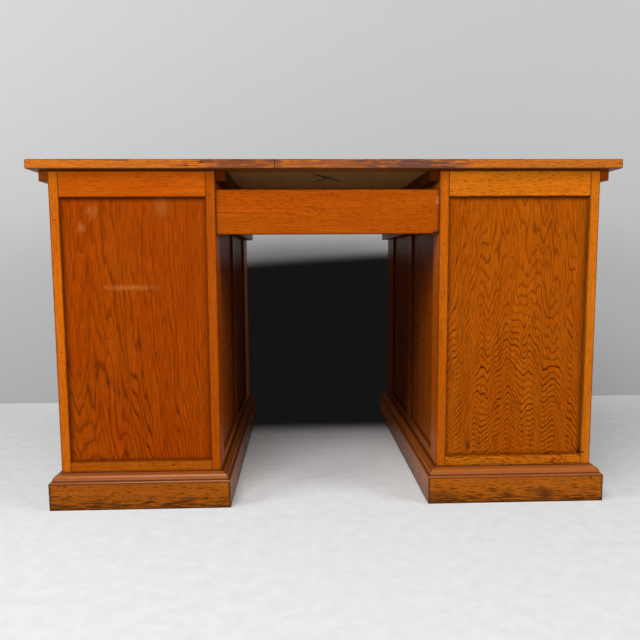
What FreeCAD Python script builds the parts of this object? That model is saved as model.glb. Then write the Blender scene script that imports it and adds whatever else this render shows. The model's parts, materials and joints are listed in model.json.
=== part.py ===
import FreeCAD
import Part

import math
import os

# A twin pedestal writing desk. Two frame and panel pedestals stand on moulded plinths, one each side
# of an open knee hole. A lift-off top sits on them, held in place by battens under it. A rail ties the
# pedestals together at the rear, and nine drawers open on the sitter's side.
#
# Frame, in millimetres: the origin is on the floor under the middle of the desk, X runs along its
# width, Y from the panelled rear face (negative) to the drawer side (positive), and Z is up.

# Overall sizes
TOP_HEIGHT = 760.0
KNEE_HOLE_WIDTH = 486.0
PEDESTAL_WIDTH = 353.0
PEDESTAL_DEPTH = 770.0

# Top: a field panel tongued into a mitred frame
TOP_THICKNESS = 20.0
TOP_SIDE_OVERHANG = 40.0
TOP_END_OVERHANG = 18.0
TOP_FRAME_WIDTH = 60.0
TOP_TONGUE_LENGTH = 8.0
TOP_TONGUE_THICKNESS = 7.0

# Battens under the top, along both sides of each pedestal
BATTEN_WIDTH = 21.0
BATTEN_HEIGHT = 23.0
BATTEN_PLAY = 0.5
BATTEN_REAR_SETBACK = 6.0
BATTEN_FRONT_SETBACK = 30.0
BATTEN_SCREW_COUNT = 3
BATTEN_SCREW_END = 90.0

# Pedestal frames
POST_THICKNESS = 21.0
REAR_POST_WIDTH = 60.0
FRONT_POST_WIDTH = 120.0
RAIL_THICKNESS = 21.0
TOP_RAIL_HEIGHT = 57.0
BOTTOM_RAIL_HEIGHT = 60.0
BOTTOM_RAIL_REVEAL = 23.5
MUNTIN_WIDTH = 48.0
TENON_LENGTH = 12.0
SIDE_TENON_LENGTH = 25.0
TENON_SHOULDER = 5.0

# Panels, set back from the faces of their frames and let into grooves
PANEL_THICKNESS = 8.0
PANEL_RECESS = 6.0
PANEL_TONGUE = 7.0
PANEL_PLAY = 1.0

# Plinth boards round the foot of each pedestal, with a moulded upper edge
PLINTH_HEIGHT = 79.0
PLINTH_NOSE_RADIUS = 4.0
PLINTH_LEDGE = 1.5
PLINTH_QUIRK = 2.0
PLINTH_OVOLO_RADIUS = 11.5
PLINTH_FILLET_HEIGHT = 2.5
PLINTH_FILLET_STEP = 1.0
PLINTH_FILLET_WIDTH = 4.0

# Drawer openings in a pedestal: each is taller than the one above by the step
DRAWERS_PER_PEDESTAL = 4
OPENING_STEP = 16.0
FRONT_TOP_RAIL_HEIGHT = 20.0
DIVIDER_THICKNESS = 18.0
DIVIDER_DEPTH = 60.0
DIVIDER_SHOULDER = 4.0
DIVIDER_TENON_INSET = 10.0
RUNNER_WIDTH = 18.0
RUNNER_HEIGHT = 18.0
BOTTOM_BOARD_THICKNESS = 8.0

# Stops behind the drawer fronts
STOP_WIDTH = 40.0
STOP_DEPTH = 14.0
STOP_HEIGHT = 5.0
STOP_GAP = 0.3

# Drawers
FRONT_THICKNESS = 20.0
FRONT_SETBACK = 3.0
FRONT_GAP = 1.5
RUN_GAP = 0.3
FRONT_LIFT = 1.2
SIDE_THICKNESS = 12.0
SIDE_GAP = 2.0
SIDE_DROP = 6.0
BACK_THICKNESS = 12.0
BACK_DROP = 6.0
DRAWER_BOTTOM_THICKNESS = 6.0
DRAWER_BOTTOM_LIFT = 9.0
DRAWER_BOTTOM_TONGUE = 5.0
DRAWER_REAR_GAP = 46.0
DOVETAIL_LAP = 7.0
DOVETAIL_PITCH = 36.0
DOVETAIL_WIDTH = 22.0
DOVETAIL_FLARE = 4.0

# Knee hole: rear rail, and the centre drawer on its two runners
BACK_RAIL_HEIGHT = 96.0
BACK_RAIL_THICKNESS = 20.0
BACK_RAIL_DROP = 41.0
BACK_RAIL_SETBACK = 5.0
BLOCK_SIZE = 25.0
BLOCK_END = 5.0
CENTRE_DRAWER_SPACE = 106.0
CENTRE_DRAWER_LENGTH = 430.0
CENTRE_RUNNER_WIDTH = 21.0
CENTRE_RUNNER_HEIGHT = 20.0
CENTRE_SIDE_CLEARANCE = 2.0
CENTRE_STOP_LENGTH = 20.0
CENTRE_STOP_WIDTH = 15.0
CENTRE_STOP_HEIGHT = 12.0

# Turned knobs
KNOB_TENON_RADIUS = 5.0
KNOB_TENON_COVER = 6.0
KNOB_COLLAR_RADIUS = 9.5
KNOB_COLLAR_HEIGHT = 3.0
KNOB_NECK_RADIUS = 7.0
KNOB_HEAD_RADIUS = 16.0
KNOB_PROJECTION = 24.0
KNOB_HEAD_START = 10.0
KNOB_RIM_RADIUS = 11.0
KNOB_RIM_DROP = 2.5
CENTRE_KNOB_SPACING = 240.0

# Slotted countersunk wood screws
SCREW_BITE = 11.0
SCREW_SHANK_RADIUS = 2.2
SCREW_HEAD_RADIUS = 4.5
SCREW_HEAD_HEIGHT = 3.0
SCREW_TIP_HEIGHT = 5.0
SCREW_TIP_RADIUS = 0.6
SCREW_SLOT_WIDTH = 1.0
SCREW_SLOT_DEPTH = 1.2

# Places worked out from the sizes above
REAR = -PEDESTAL_DEPTH / 2
FRONT = PEDESTAL_DEPTH / 2
UNDERSIDE = TOP_HEIGHT - TOP_THICKNESS
HALF_KNEE_HOLE = KNEE_HOLE_WIDTH / 2
OUTER_FACE = HALF_KNEE_HOLE + PEDESTAL_WIDTH
BOTTOM_RAIL_TOP = PLINTH_HEIGHT + BOTTOM_RAIL_REVEAL
TOP_RAIL_BOTTOM = UNDERSIDE - TOP_RAIL_HEIGHT
SIDE_REAR = REAR + REAR_POST_WIDTH
SIDE_FRONT = FRONT - FRONT_POST_WIDTH
MUNTIN_MIDDLE = (SIDE_REAR + SIDE_FRONT) / 2
MUNTIN_REAR = MUNTIN_MIDDLE - MUNTIN_WIDTH / 2
MUNTIN_FRONT = MUNTIN_MIDDLE + MUNTIN_WIDTH / 2
FACE_TO_TENON = PANEL_RECESS
FACE_TO_TENON_BACK = PANEL_RECESS + PANEL_THICKNESS
CENTRE_RUNNER_TOP = UNDERSIDE - CENTRE_DRAWER_SPACE
CENTRE_RUNNER_BOTTOM = CENTRE_RUNNER_TOP - CENTRE_RUNNER_HEIGHT
BACK_RAIL_TOP = UNDERSIDE - BACK_RAIL_DROP
BACK_RAIL_BOTTOM = BACK_RAIL_TOP - BACK_RAIL_HEIGHT
BACK_RAIL_REAR = REAR + BACK_RAIL_SETBACK
BACK_RAIL_FRONT = BACK_RAIL_REAR + BACK_RAIL_THICKNESS
FRONT_FACE = FRONT - FRONT_SETBACK
FRONT_BACK = FRONT_FACE - FRONT_THICKNESS
CENTRE_DRAWER_REAR = FRONT_FACE - CENTRE_DRAWER_LENGTH
KNOB_TENON_LENGTH = FRONT_THICKNESS - KNOB_TENON_COVER
OVOLO_INNER = PLINTH_FILLET_WIDTH + PLINTH_FILLET_STEP
OVOLO_OUTER = OVOLO_INNER + PLINTH_OVOLO_RADIUS
NOSE_INNER = OVOLO_OUTER + PLINTH_LEDGE
PLINTH_THICKNESS = NOSE_INNER + PLINTH_NOSE_RADIUS
SIDES = {"left": -1, "right": 1}

ALONG_X = FreeCAD.Vector(1, 0, 0)
ALONG_Y = FreeCAD.Vector(0, 1, 0)
ALONG_Z = FreeCAD.Vector(0, 0, 1)


def block(x, y, z):
    """A square-edged board between two places on each axis, in either order."""
    low = FreeCAD.Vector(min(x), min(y), min(z))
    size = FreeCAD.Vector(max(x), max(y), max(z)) - low
    return Part.makeBox(size.x, size.y, size.z, low)


def joined(*solids):
    """One solid made of pieces that meet face to face."""
    whole = solids[0].fuse(list(solids[1:]))
    return whole.removeSplitter().Solids[0]


def cut_by(solid, tools):
    """The solid with each tool's space taken out of it."""
    return solid.cut(list(tools)).Solids[0] if tools else solid


def middle_of(pair):
    return (pair[0] + pair[1]) / 2


def prism(points, along):
    """A straight solid from a plane outline."""
    closed = [FreeCAD.Vector(*p) for p in points]
    return Part.Face(Part.makePolygon(closed + closed[:1])).extrude(along)


def turned(profile_edges, centre, axis_turn):
    """A solid of revolution about Z, turned to lie along its own axis and set at its centre."""
    face = Part.Face(Part.Wire(profile_edges))
    solid = face.revolve(FreeCAD.Vector(0, 0, 0), ALONG_Z, 360)
    solid.Placement = FreeCAD.Placement(centre, axis_turn)
    return solid


def line(a, b):
    return Part.LineSegment(FreeCAD.Vector(a[0], 0, a[1]), FreeCAD.Vector(b[0], 0, b[1])).toShape()


def arc(a, through, b):
    points = [FreeCAD.Vector(p[0], 0, p[1]) for p in (a, through, b)]
    return Part.Arc(*points).toShape()


def turn_to(direction):
    """The turn that takes the Z axis to a direction."""
    return FreeCAD.Rotation(ALONG_Z, direction)


# Screws

def screw_blank(head, direction, grip):
    """A screw without its slot, driven along the direction through a piece of thickness grip."""
    length = grip + SCREW_BITE
    outline = [
        (0, 0),
        (SCREW_HEAD_RADIUS, 0),
        (SCREW_SHANK_RADIUS, SCREW_HEAD_HEIGHT),
        (SCREW_SHANK_RADIUS, length - SCREW_TIP_HEIGHT),
        (SCREW_TIP_RADIUS, length),
        (0, length),
    ]
    edges = [line(a, b) for a, b in zip(outline, outline[1:] + outline[:1])]
    return turned(edges, head, turn_to(direction))


def slotted_screw(head, direction, grip):
    half = SCREW_SLOT_WIDTH / 2
    slot = block((-half, half), (-SCREW_HEAD_RADIUS, SCREW_HEAD_RADIUS), (0, SCREW_SLOT_DEPTH))
    slot.Placement = FreeCAD.Placement(head, turn_to(direction))
    return screw_blank(head, direction, grip).cut(slot).Solids[0]


def batten_screws():
    """The head, direction and grip of each screw that goes up through a batten into the top."""
    first = REAR + BATTEN_REAR_SETBACK + BATTEN_SCREW_END
    last = FRONT - BATTEN_FRONT_SETBACK - BATTEN_SCREW_END
    step = (last - first) / (BATTEN_SCREW_COUNT - 1)
    places = []
    for width in batten_ranges():
        for i in range(BATTEN_SCREW_COUNT):
            head = FreeCAD.Vector(middle_of(width), first + i * step, UNDERSIDE - BATTEN_HEIGHT)
            places.append((head, ALONG_Z, BATTEN_HEIGHT))
    return places


def runner_screws(sign):
    """The screws that hold a centre runner to the posts and the muntin of its pedestal."""
    height = middle_of((CENTRE_RUNNER_BOTTOM, CENTRE_RUNNER_TOP))
    face = sign * (HALF_KNEE_HOLE - CENTRE_RUNNER_WIDTH)
    groove = SIDE_REAR - PANEL_TONGUE - PANEL_PLAY
    depths = (middle_of((BACK_RAIL_FRONT, groove)), MUNTIN_MIDDLE, middle_of((SIDE_FRONT, FRONT)))
    return [(FreeCAD.Vector(face, depth, height), ALONG_X * sign, CENTRE_RUNNER_WIDTH) for depth in depths]


# Top

def batten_ranges():
    """The X range of each batten, from left to right."""
    inner = (HALF_KNEE_HOLE - BATTEN_PLAY - BATTEN_WIDTH, HALF_KNEE_HOLE - BATTEN_PLAY)
    outer = (OUTER_FACE + BATTEN_PLAY, OUTER_FACE + BATTEN_PLAY + BATTEN_WIDTH)
    return [(-x[1], -x[0]) for x in (outer, inner)] + [inner, outer]


def battens():
    depth = (REAR + BATTEN_REAR_SETBACK, FRONT - BATTEN_FRONT_SETBACK)
    height = (UNDERSIDE - BATTEN_HEIGHT, UNDERSIDE)
    holes = [screw_blank(*place) for place in batten_screws()]
    return [cut_by(block(width, depth, height), holes) for width in batten_ranges()]


def top_field():
    """The field panel and its tongue, as one solid."""
    half_width = OUTER_FACE + TOP_SIDE_OVERHANG - TOP_FRAME_WIDTH
    half_depth = FRONT + TOP_END_OVERHANG - TOP_FRAME_WIDTH
    tongue_middle = middle_of((UNDERSIDE, TOP_HEIGHT))
    tongue_low = tongue_middle - TOP_TONGUE_THICKNESS / 2
    field = block((-half_width, half_width), (-half_depth, half_depth), (UNDERSIDE, TOP_HEIGHT))
    tongue_x = half_width + TOP_TONGUE_LENGTH
    tongue_y = half_depth + TOP_TONGUE_LENGTH
    tongue = block(
        (-tongue_x, tongue_x), (-tongue_y, tongue_y), (tongue_low, tongue_low + TOP_TONGUE_THICKNESS)
    )
    return joined(field, tongue)


def top_frame():
    """Rear, front, left and right members, mitred at the corners and grooved for the field panel."""
    x = OUTER_FACE + TOP_SIDE_OVERHANG
    y = FRONT + TOP_END_OVERHANG
    ix = x - TOP_FRAME_WIDTH
    iy = y - TOP_FRAME_WIDTH
    z = UNDERSIDE
    outlines = (
        ((-x, -y, z), (x, -y, z), (ix, -iy, z), (-ix, -iy, z)),
        ((-x, y, z), (x, y, z), (ix, iy, z), (-ix, iy, z)),
        ((-x, -y, z), (-x, y, z), (-ix, iy, z), (-ix, -iy, z)),
        ((x, -y, z), (x, y, z), (ix, iy, z), (ix, -iy, z)),
    )
    field = top_field()
    return [cut_by(prism(outline, ALONG_Z * TOP_THICKNESS), [field]) for outline in outlines]


def top_nodes():
    holes = [screw_blank(*place) for place in batten_screws()]
    return {
        "top_panel": [cut_by(top_field(), holes)],
        "top_frame": [cut_by(member, holes) for member in top_frame()],
        "top_battens": battens(),
    }


# Pedestals. Places across a pedestal are measured from its knee hole face outwards.

def across(sign, near, far):
    """The X range between two distances from the knee hole face of the pedestal on that side."""
    return (sign * (HALF_KNEE_HOLE + near), sign * (HALF_KNEE_HOLE + far))


def face_range(outer, near, far):
    """Distances behind the visible face of a side frame, as distances from the knee hole face."""
    return (PEDESTAL_WIDTH - far, PEDESTAL_WIDTH - near) if outer else (near, far)


def posts(sign):
    """Plain posts: two at the rear and two at the front, knee hole side first."""
    made = []
    for depth in ((REAR, SIDE_REAR), (SIDE_FRONT, FRONT)):
        for outer in (False, True):
            width = across(sign, *face_range(outer, 0, POST_THICKNESS))
            made.append(block(width, depth, (0, UNDERSIDE)))
    return made


def rail_heights():
    """The Z ranges of a frame's bottom and top rails."""
    bottom = (BOTTOM_RAIL_TOP - BOTTOM_RAIL_HEIGHT, BOTTOM_RAIL_TOP)
    return bottom, (TOP_RAIL_BOTTOM, UNDERSIDE)


def tenon_range(height):
    return (height[0] + TENON_SHOULDER, height[1] - TENON_SHOULDER)


def cross_rail(sign, depth, tenon_depth, height):
    """A rail from post to post across a pedestal, with its two tenons, as (rail, tenons)."""
    body = block(across(sign, POST_THICKNESS, PEDESTAL_WIDTH - POST_THICKNESS), depth, height)
    tenons = []
    for outer in (False, True):
        reach = face_range(outer, POST_THICKNESS - TENON_LENGTH, POST_THICKNESS)
        tenons.append(block(across(sign, *reach), tenon_depth, tenon_range(height)))
    return joined(body, *tenons), tenons


def rear_rails(sign):
    depth = (REAR, REAR + RAIL_THICKNESS)
    tenon_depth = (REAR + FACE_TO_TENON, REAR + FACE_TO_TENON_BACK)
    return [cross_rail(sign, depth, tenon_depth, height) for height in rail_heights()]


def front_bottom_rail(sign):
    depth = (FRONT - RAIL_THICKNESS, FRONT)
    tenon_depth = (FRONT - FACE_TO_TENON_BACK, FRONT - FACE_TO_TENON)
    return cross_rail(sign, depth, tenon_depth, rail_heights()[0])


def side_rails(sign, outer):
    """Bottom and top rails of a side frame with the tenons that enter the posts."""
    made = []
    width = across(sign, *face_range(outer, 0, POST_THICKNESS))
    tenon_width = across(sign, *face_range(outer, FACE_TO_TENON, FACE_TO_TENON_BACK))
    for height in rail_heights():
        body = block(width, (SIDE_REAR, SIDE_FRONT), height)
        reaches = ((SIDE_REAR - SIDE_TENON_LENGTH, SIDE_REAR), (SIDE_FRONT, SIDE_FRONT + SIDE_TENON_LENGTH))
        tenons = [block(tenon_width, reach, tenon_range(height)) for reach in reaches]
        made.append((joined(body, *tenons), tenons))
    return made


def side_muntin(sign, outer):
    """The upright between the two panels of a side frame, with its stub tenons."""
    width = across(sign, *face_range(outer, 0, POST_THICKNESS))
    tenon_width = across(sign, *face_range(outer, FACE_TO_TENON, FACE_TO_TENON_BACK))
    depth = (MUNTIN_REAR, MUNTIN_FRONT)
    low, high = (BOTTOM_RAIL_TOP, TOP_RAIL_BOTTOM)
    body = block(width, depth, (low, high))
    reaches = ((low - TENON_LENGTH, low), (high, high + TENON_LENGTH))
    tenons = [block(tenon_width, tenon_range(depth), reach) for reach in reaches]
    return joined(body, *tenons), tenons


def panel_and_groove(opening_width, opening_height, make):
    """A panel and the wider space of its grooves, from the opening it fills and how to place it."""
    grown = []
    for reach in (PANEL_TONGUE, PANEL_TONGUE + PANEL_PLAY):
        width = (min(opening_width) - reach, max(opening_width) + reach)
        height = (opening_height[0] - reach, opening_height[1] + reach)
        grown.append(make(width, height))
    return grown


def rear_panel(sign):
    opening = across(sign, POST_THICKNESS, PEDESTAL_WIDTH - POST_THICKNESS)
    depth = (REAR + FACE_TO_TENON, REAR + FACE_TO_TENON_BACK)
    height = (BOTTOM_RAIL_TOP, TOP_RAIL_BOTTOM)
    return panel_and_groove(opening, height, lambda width, tall: block(width, depth, tall))


def side_panels(sign, outer):
    """The rear and front panels of a side frame, each with its groove."""
    width = across(sign, *face_range(outer, FACE_TO_TENON, FACE_TO_TENON_BACK))
    height = (BOTTOM_RAIL_TOP, TOP_RAIL_BOTTOM)
    made = []
    for opening in ((SIDE_REAR, MUNTIN_REAR), (MUNTIN_FRONT, SIDE_FRONT)):
        made.append(panel_and_groove(opening, height, lambda depth, tall: block(width, depth, tall)))
    return made


def opening_heights():
    """The Z ranges of a pedestal's drawer openings, from the top one down."""
    top = UNDERSIDE - FRONT_TOP_RAIL_HEIGHT
    dividers = (DRAWERS_PER_PEDESTAL - 1) * DIVIDER_THICKNESS
    steps = OPENING_STEP * sum(range(DRAWERS_PER_PEDESTAL))
    first = (top - BOTTOM_RAIL_TOP - dividers - steps) / DRAWERS_PER_PEDESTAL
    made = []
    for i in range(DRAWERS_PER_PEDESTAL):
        bottom = top - first - i * OPENING_STEP
        made.append((bottom, top))
        top = bottom - DIVIDER_THICKNESS
    return made


def divider(sign, height):
    """A front rail between two drawers, or above the top one, with its tenons."""
    width = across(sign, POST_THICKNESS, PEDESTAL_WIDTH - POST_THICKNESS)
    body = block(width, (FRONT - DIVIDER_DEPTH, FRONT), height)
    tenon_depth = (FRONT - DIVIDER_DEPTH + DIVIDER_TENON_INSET, FRONT - DIVIDER_TENON_INSET)
    tenon_height = (height[0] + DIVIDER_SHOULDER, height[1] - DIVIDER_SHOULDER)
    tenons = []
    for outer in (False, True):
        reach = face_range(outer, POST_THICKNESS - TENON_LENGTH, POST_THICKNESS)
        tenons.append(block(across(sign, *reach), tenon_depth, tenon_height))
    return joined(body, *tenons), tenons


def dividers(sign):
    made = [divider(sign, (UNDERSIDE - FRONT_TOP_RAIL_HEIGHT, UNDERSIDE))]
    for bottom, _ in opening_heights()[:-1]:
        made.append(divider(sign, (bottom - DIVIDER_THICKNESS, bottom)))
    return made


def drawer_stops(sign):
    """Small blocks behind the drawer fronts, on the rail below each, or on the bottom board."""
    middle = PEDESTAL_WIDTH / 2
    width = across(sign, middle - STOP_WIDTH / 2, middle + STOP_WIDTH / 2)
    depth = (FRONT_BACK - STOP_GAP - STOP_DEPTH, FRONT_BACK - STOP_GAP)
    bottoms = [bottom for bottom, _ in opening_heights()]
    feet = bottoms[:-1] + [bottoms[-1] - RUNNER_HEIGHT]
    return [block(width, depth, (foot, bottom + STOP_HEIGHT)) for foot, bottom in zip(feet, bottoms)]


def drawer_runners(sign):
    """A pair of runners for each drawer, from the rear rails to the back of the rail in front."""
    made = []
    openings = opening_heights()
    for bottom, _ in openings:
        lowest = bottom == openings[-1][0]
        front_end = FRONT - (RAIL_THICKNESS if lowest else DIVIDER_DEPTH)
        for outer in (False, True):
            width = face_range(outer, POST_THICKNESS, POST_THICKNESS + RUNNER_WIDTH)
            height = (bottom - RUNNER_HEIGHT, bottom)
            made.append(block(across(sign, *width), (REAR + RAIL_THICKNESS, front_end), height))
    return made


def bottom_board(sign):
    top = BOTTOM_RAIL_TOP - RUNNER_HEIGHT
    width = across(sign, POST_THICKNESS, PEDESTAL_WIDTH - POST_THICKNESS)
    depth = (REAR + RAIL_THICKNESS, FRONT - RAIL_THICKNESS)
    return block(width, depth, (top - BOTTOM_BOARD_THICKNESS, top))


def plinth_profile(start, outward):
    """The plinth's section at a point of the pedestal's face: flat, nose, quirk, ovolo and fillet."""
    def at(n, z):
        return start + outward * n + ALONG_Z * z

    def stretch(a, b):
        return Part.LineSegment(at(*a), at(*b)).toShape()

    def round_stretch(centre, radius):
        """A quarter circle, from level with its centre up to straight above it."""
        slant = radius * math.sqrt(0.5)
        ends = (at(centre[0] + radius, centre[1]), at(centre[0], centre[1] + radius))
        return Part.Arc(ends[0], at(centre[0] + slant, centre[1] + slant), ends[1]).toShape()

    ovolo_top = PLINTH_HEIGHT - PLINTH_FILLET_HEIGHT
    ovolo_foot = ovolo_top - PLINTH_OVOLO_RADIUS
    nose_top = ovolo_foot - PLINTH_QUIRK
    nose_foot = nose_top - PLINTH_NOSE_RADIUS
    edges = [
        stretch((0, 0), (PLINTH_THICKNESS, 0)),
        stretch((PLINTH_THICKNESS, 0), (PLINTH_THICKNESS, nose_foot)),
        round_stretch((NOSE_INNER, nose_foot), PLINTH_NOSE_RADIUS),
        stretch((NOSE_INNER, nose_top), (OVOLO_OUTER, nose_top)),
        stretch((OVOLO_OUTER, nose_top), (OVOLO_OUTER, ovolo_foot)),
        round_stretch((OVOLO_INNER, ovolo_foot), PLINTH_OVOLO_RADIUS),
        stretch((OVOLO_INNER, ovolo_top), (PLINTH_FILLET_WIDTH, ovolo_top)),
        stretch((PLINTH_FILLET_WIDTH, ovolo_top), (PLINTH_FILLET_WIDTH, PLINTH_HEIGHT)),
        stretch((PLINTH_FILLET_WIDTH, PLINTH_HEIGHT), (0, PLINTH_HEIGHT)),
        stretch((0, PLINTH_HEIGHT), (0, 0)),
    ]
    return Part.Face(Part.Wire(edges))


def plinth(sign):
    """Four moulded boards round a pedestal, mitred at the corners: rear, front, knee hole and outer."""
    x = sorted(across(sign, 0, PEDESTAL_WIDTH))
    corners = {
        "rear": ((x[0], REAR), (x[1], REAR), (0, -1)),
        "front": ((x[0], FRONT), (x[1], FRONT), (0, 1)),
        "low": ((x[0], REAR), (x[0], FRONT), (-1, 0)),
        "high": ((x[1], REAR), (x[1], FRONT), (1, 0)),
    }
    t = PLINTH_THICKNESS
    boards = []
    for start, end, normal in corners.values():
        outward = FreeCAD.Vector(normal[0], normal[1], 0)
        a = FreeCAD.Vector(start[0], start[1], 0)
        b = FreeCAD.Vector(end[0], end[1], 0)
        along = (b - a).normalize()
        bar = plinth_profile(a - along * t, outward).extrude(b - a + along * (2 * t))
        outline = (a, b, b + (outward + along) * t, a + (outward - along) * t)
        boards.append(bar.common(prism([tuple(p) for p in outline], ALONG_Z * PLINTH_HEIGHT)).Solids[0])
    return boards


def pedestal_nodes(name, sign):
    """All the fixed pieces of one pedestal, with their grooves and mortises cut."""
    rear = rear_rails(sign)
    front_rail = front_bottom_rail(sign)
    rails_between = dividers(sign)
    sides = {outer: side_rails(sign, outer) for outer in (False, True)}
    muntins = {outer: side_muntin(sign, outer) for outer in (False, True)}
    panels = {outer: side_panels(sign, outer) for outer in (False, True)}
    back, back_groove = rear_panel(sign)
    side_grooves = [groove for pair in panels.values() for _, groove in pair]
    screws = [screw_blank(*place) for place in runner_screws(sign)]

    tenoned = rear + [front_rail] + rails_between + sides[False] + sides[True]
    mortises = [tenon for _, tenons in tenoned for tenon in tenons]
    post_cuts = mortises + side_grooves + [back_groove] + screws
    shaped_posts = [cut_by(post, post_cuts) for post in posts(sign)]

    nodes = {
        f"{name}_rear_posts": shaped_posts[:2],
        f"{name}_front_posts": shaped_posts[2:],
        f"{name}_rear_rails": [cut_by(rail, [back_groove]) for rail, _ in rear],
        f"{name}_rear_panel": [back],
        f"{name}_front_rails": [front_rail[0]] + [rail for rail, _ in rails_between] + drawer_stops(sign),
        f"{name}_drawer_runners": drawer_runners(sign),
        f"{name}_bottom_board": [bottom_board(sign)],
        f"{name}_plinth": plinth(sign),
    }
    for outer, label in ((False, "inner"), (True, "outer")):
        muntin, muntin_tenons = muntins[outer]
        rails = [cut_by(rail, side_grooves + muntin_tenons) for rail, _ in sides[outer]]
        nodes[f"{name}_{label}_side_frame"] = rails + [cut_by(muntin, side_grooves + screws)]
        nodes[f"{name}_{label}_side_panels"] = [panel for panel, _ in panels[outer]]
    return nodes


# Knee hole

def back_rail():
    width = (-HALF_KNEE_HOLE, HALF_KNEE_HOLE)
    return block(width, (BACK_RAIL_REAR, BACK_RAIL_FRONT), (BACK_RAIL_BOTTOM, BACK_RAIL_TOP))


def back_rail_blocks():
    """Glue blocks on the centre runners, in the corners between the rail and the pedestals."""
    depth = (BACK_RAIL_FRONT, BACK_RAIL_FRONT + BLOCK_SIZE)
    height = (CENTRE_RUNNER_TOP, BACK_RAIL_TOP - BLOCK_END)
    blocks = []
    for sign in SIDES.values():
        width = (sign * HALF_KNEE_HOLE, sign * (HALF_KNEE_HOLE - BLOCK_SIZE))
        blocks.append(block(width, depth, height))
    return blocks


def centre_runner(sign):
    """A runner along the pedestal's knee hole side, with the block that stops the drawer."""
    width = (sign * HALF_KNEE_HOLE, sign * (HALF_KNEE_HOLE - CENTRE_RUNNER_WIDTH))
    holes = [screw_blank(*place) for place in runner_screws(sign)]
    runner = block(width, (BACK_RAIL_FRONT, FRONT), (CENTRE_RUNNER_BOTTOM, CENTRE_RUNNER_TOP))
    stop_width = (sign * HALF_KNEE_HOLE, sign * (HALF_KNEE_HOLE - CENTRE_STOP_WIDTH))
    stop_front = CENTRE_DRAWER_REAR - STOP_GAP
    stop = block(
        stop_width, (stop_front - CENTRE_STOP_LENGTH, stop_front),
        (CENTRE_RUNNER_TOP, CENTRE_RUNNER_TOP + CENTRE_STOP_HEIGHT),
    )
    return [cut_by(runner, holes), stop]


def knee_hole_nodes():
    places = batten_screws()
    for sign in SIDES.values():
        places += runner_screws(sign)
    nodes = {
        "back_rail": [back_rail()],
        "back_rail_blocks": back_rail_blocks(),
        "wood_screws": [slotted_screw(*place) for place in places],
    }
    for name, sign in SIDES.items():
        nodes[f"centre_runner_{name}"] = centre_runner(sign)
    return nodes


# Drawers

def knob(centre):
    """A turned knob on a drawer front, with the tenon that enters the front."""
    neck_middle = middle_of((KNOB_COLLAR_HEIGHT, KNOB_HEAD_START))
    rim = KNOB_PROJECTION - KNOB_RIM_DROP
    head_middle = middle_of((KNOB_HEAD_START, rim))
    dome_radius = (KNOB_RIM_RADIUS ** 2 + KNOB_RIM_DROP ** 2) / (2 * KNOB_RIM_DROP)
    dome_turn = math.asin(KNOB_RIM_RADIUS / dome_radius) / 2
    dome_centre = KNOB_PROJECTION - dome_radius
    dome_middle = (dome_radius * math.sin(dome_turn), dome_centre + dome_radius * math.cos(dome_turn))
    edges = [
        line((0, -KNOB_TENON_LENGTH), (KNOB_TENON_RADIUS, -KNOB_TENON_LENGTH)),
        line((KNOB_TENON_RADIUS, -KNOB_TENON_LENGTH), (KNOB_TENON_RADIUS, 0)),
        line((KNOB_TENON_RADIUS, 0), (KNOB_COLLAR_RADIUS, 0)),
        line((KNOB_COLLAR_RADIUS, 0), (KNOB_COLLAR_RADIUS, KNOB_COLLAR_HEIGHT)),
        arc((KNOB_COLLAR_RADIUS, KNOB_COLLAR_HEIGHT), (KNOB_NECK_RADIUS, neck_middle),
            (KNOB_RIM_RADIUS, KNOB_HEAD_START)),
        arc((KNOB_RIM_RADIUS, KNOB_HEAD_START), (KNOB_HEAD_RADIUS, head_middle), (KNOB_RIM_RADIUS, rim)),
        arc((KNOB_RIM_RADIUS, rim), dome_middle, (0, KNOB_PROJECTION)),
        line((0, KNOB_PROJECTION), (0, -KNOB_TENON_LENGTH)),
    ]
    return turned(edges, centre, turn_to(ALONG_Y))


def knob_hole(centre):
    hole = Part.makeCylinder(KNOB_TENON_RADIUS, KNOB_TENON_LENGTH)
    hole.Placement = FreeCAD.Placement(centre, turn_to(-ALONG_Y))
    return hole


def dovetails(width, height):
    """The tails at the front end of a drawer side, evenly spread over its height."""
    tall = height[1] - height[0]
    count = max(1, int(tall // DOVETAIL_PITCH))
    pitch = tall / count
    end = FRONT_FACE - DOVETAIL_LAP
    tails = []
    for i in range(count):
        middle = height[0] + (i + 0.5) * pitch
        root = DOVETAIL_WIDTH / 2 - DOVETAIL_FLARE
        tip = DOVETAIL_WIDTH / 2
        x = min(width)
        outline = ((x, FRONT_BACK, middle - root), (x, FRONT_BACK, middle + root), (x, end, middle + tip),
                   (x, end, middle - tip))
        tails.append(prism(outline, ALONG_X * SIDE_THICKNESS))
    return tails


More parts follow.
